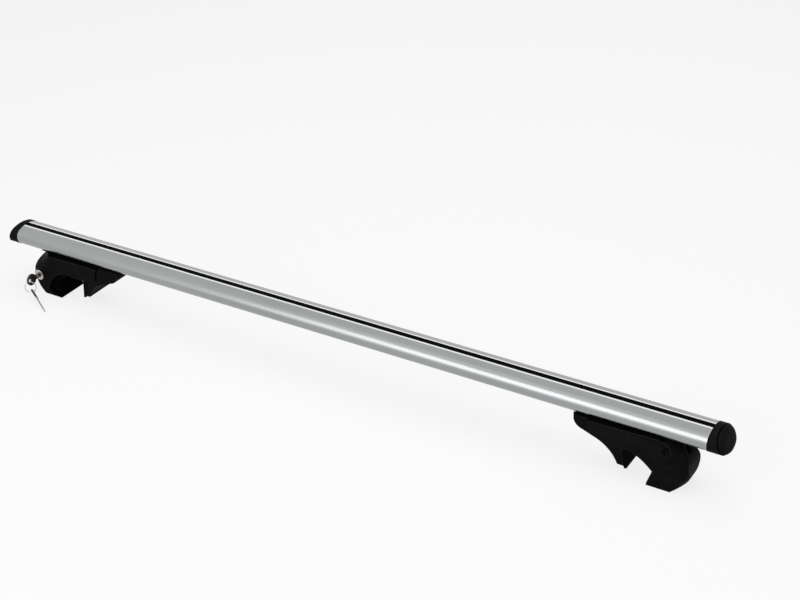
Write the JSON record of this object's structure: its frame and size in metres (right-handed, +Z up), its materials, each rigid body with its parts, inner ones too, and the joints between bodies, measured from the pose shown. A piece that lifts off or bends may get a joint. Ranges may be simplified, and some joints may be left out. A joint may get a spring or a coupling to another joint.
{
  "type": "roof rack crossbar",
  "caption": "Oval aluminium roof crossbar on two lockable clamp feet with screw-driven jaws for raised side rails",
  "frame": {"origin": "centre of the bar's section at mid-length", "axes": "+X along the bar towards the end whose lock faces +Y, +Z up"},
  "size_m": [1.211, 0.1009, 0.1039],
  "materials": {
    "bar_aluminium": "satin anodised, fine lines along the bar",
    "strip_rubber": "matt black",
    "cap_plastic": "fine-grained black",
    "foot_plastic": "fine-grained black",
    "rubber": "matt black",
    "steel": "zinc plated",
    "screw_steel": "blackened",
    "lock_chrome": "nickel plated",
    "key_metal": "nickel plated, worn"
  },
  "bodies": {
    "bar": {"bar_extrusion": "bar_aluminium", "top_strip": "strip_rubber", "left_end_cap": "cap_plastic", "right_end_cap": "cap_plastic"},
    "left_foot": {"left_housing": "foot_plastic", "left_saddle_pad": "rubber", "left_rail_insert": "rubber", "left_hanger": "steel", "left_side_screws": "screw_steel", "left_lock_barrel": "lock_chrome"},
    "left_jaw": {"left_jaw_slider": "foot_plastic", "left_jaw_pad": "rubber", "left_clamp_nut": "steel"},
    "left_screw": {"left_clamp_screw": "screw_steel", "left_clamp_washer": "steel", "left_screw_clip": "steel"},
    "left_lock": {"left_lock_plug": "lock_chrome", "left_lock_cam": "steel", "left_lock_key": "key_metal"},
    "right_foot": {"right_housing": "foot_plastic", "right_saddle_pad": "rubber", "right_rail_insert": "rubber", "right_hanger": "steel", "right_side_screws": "screw_steel", "right_lock_barrel": "lock_chrome"},
    "right_jaw": {"right_jaw_slider": "foot_plastic", "right_jaw_pad": "rubber", "right_clamp_nut": "steel"},
    "right_screw": {"right_clamp_screw": "screw_steel", "right_clamp_washer": "steel", "right_screw_clip": "steel"},
    "right_lock": {"right_lock_plug": "lock_chrome", "right_lock_cam": "steel"},
    "keys": {"key_ring": "key_metal", "spare_key": "key_metal"}
  },
  "joints": [
    {"name": "left_foot_slide", "type": "slide", "parent": "bar", "child": "left_foot", "axis": [1, 0, 0], "range_m": [-0.005, 0.1]},
    {"name": "left_screw_turn", "type": "hinge", "parent": "left_foot", "child": "left_screw", "pos_m": [-0.53925, 0, -0.031], "axis": [1, 0, 0], "range_deg": [-2916, 7956]},
    {"name": "left_jaw_slide", "type": "slide", "parent": "left_foot", "child": "left_jaw", "axis": [-1, 0, 0], "range_m": [-0.008, 0.022]},
    {"name": "left_lock_turn", "type": "hinge", "parent": "left_foot", "child": "left_lock", "pos_m": [-0.5435, -0.0268, -0.0555], "axis": [0, -1, 0], "range_deg": [0, 90]},
    {"name": "right_foot_slide", "type": "slide", "parent": "bar", "child": "right_foot", "axis": [-1, 0, 0], "range_m": [-0.005, 0.1]},
    {"name": "right_screw_turn", "type": "hinge", "parent": "right_foot", "child": "right_screw", "pos_m": [0.53925, 0, -0.031], "axis": [-1, 0, 0], "range_deg": [-9756, 1116]},
    {"name": "right_jaw_slide", "type": "slide", "parent": "right_foot", "child": "right_jaw", "axis": [1, 0, 0], "range_m": [-0.027, 0.003]},
    {"name": "right_lock_turn", "type": "hinge", "parent": "right_foot", "child": "right_lock", "pos_m": [0.5435, 0.0268, -0.0555], "axis": [0, 1, 0], "range_deg": [0, 90]},
    {"name": "key_ring_swing", "type": "hinge", "parent": "left_lock", "child": "keys", "pos_m": [-0.5435, -0.0483, -0.0575], "axis": [-0.8387, -0.5446, 0], "range_deg": [0, 50]}
  ],
  "couplings": [
    {"joint": "left_screw_turn", "follows": "left_jaw_slide", "rad_per_m": 6283.2},
    {"joint": "right_screw_turn", "follows": "right_jaw_slide", "rad_per_m": 6283.2}
  ]
}
